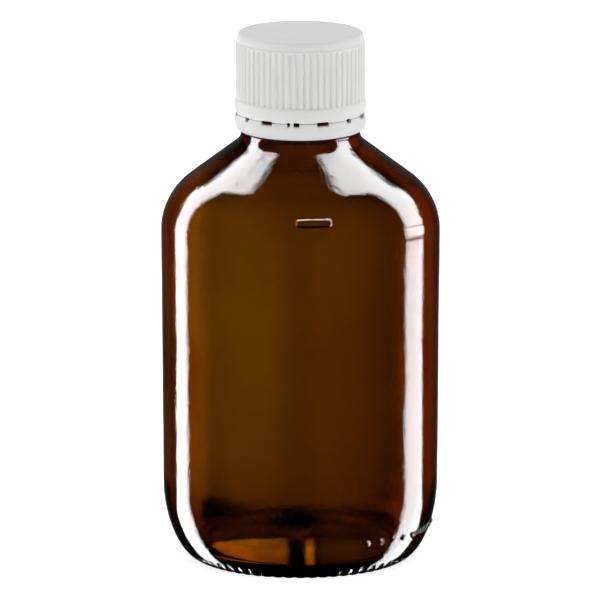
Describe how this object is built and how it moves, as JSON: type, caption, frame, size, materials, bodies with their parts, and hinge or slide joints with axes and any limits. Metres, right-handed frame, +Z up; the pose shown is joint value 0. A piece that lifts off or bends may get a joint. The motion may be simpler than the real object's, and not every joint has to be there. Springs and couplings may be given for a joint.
{
  "type": "medicine bottle with tamper-evident screw cap",
  "caption": "Flat oval amber glass medicine bottle with a ribbed white tamper-evident screw cap that unscrews and lifts off.",
  "frame": {"origin": "middle of the base, at the surface that the bottle stands on", "axes": "+Z up along the neck, X across the wide side, -Y out of the front with the moulded bar"},
  "size_m": [0.0676, 0.0461, 0.1308],
  "materials": {
    "amber_glass": "clear amber, polished",
    "cap_plastic": "satin white",
    "liner_foam": "smooth white film over foam"
  },
  "bodies": {
    "bottle": {"bottle": "amber_glass"},
    "liner": {"liner": "liner_foam"},
    "cap": {"screw_cap": "cap_plastic"},
    "band": {"tamper_band": "cap_plastic", "tamper_bridges": "cap_plastic"}
  },
  "joints": [
    {"name": "cap_lift", "type": "slide", "parent": "bottle", "child": "liner", "axis": [0, 0, 1], "range_m": [0, 0.0191]},
    {"name": "cap_unscrew", "type": "hinge", "parent": "liner", "child": "cap", "pos_m": [0, 0, 0.12], "axis": [0, 0, 1], "range_deg": [0, 2160]},
    {"name": "band_turn", "type": "hinge", "parent": "bottle", "child": "band", "pos_m": [0, 0, 0.109], "axis": [0, 0, 1], "continuous": true}
  ],
  "couplings": [
    {"joint": "cap_lift", "follows": "cap_unscrew", "m_per_rad": 0.00050611}
  ]
}
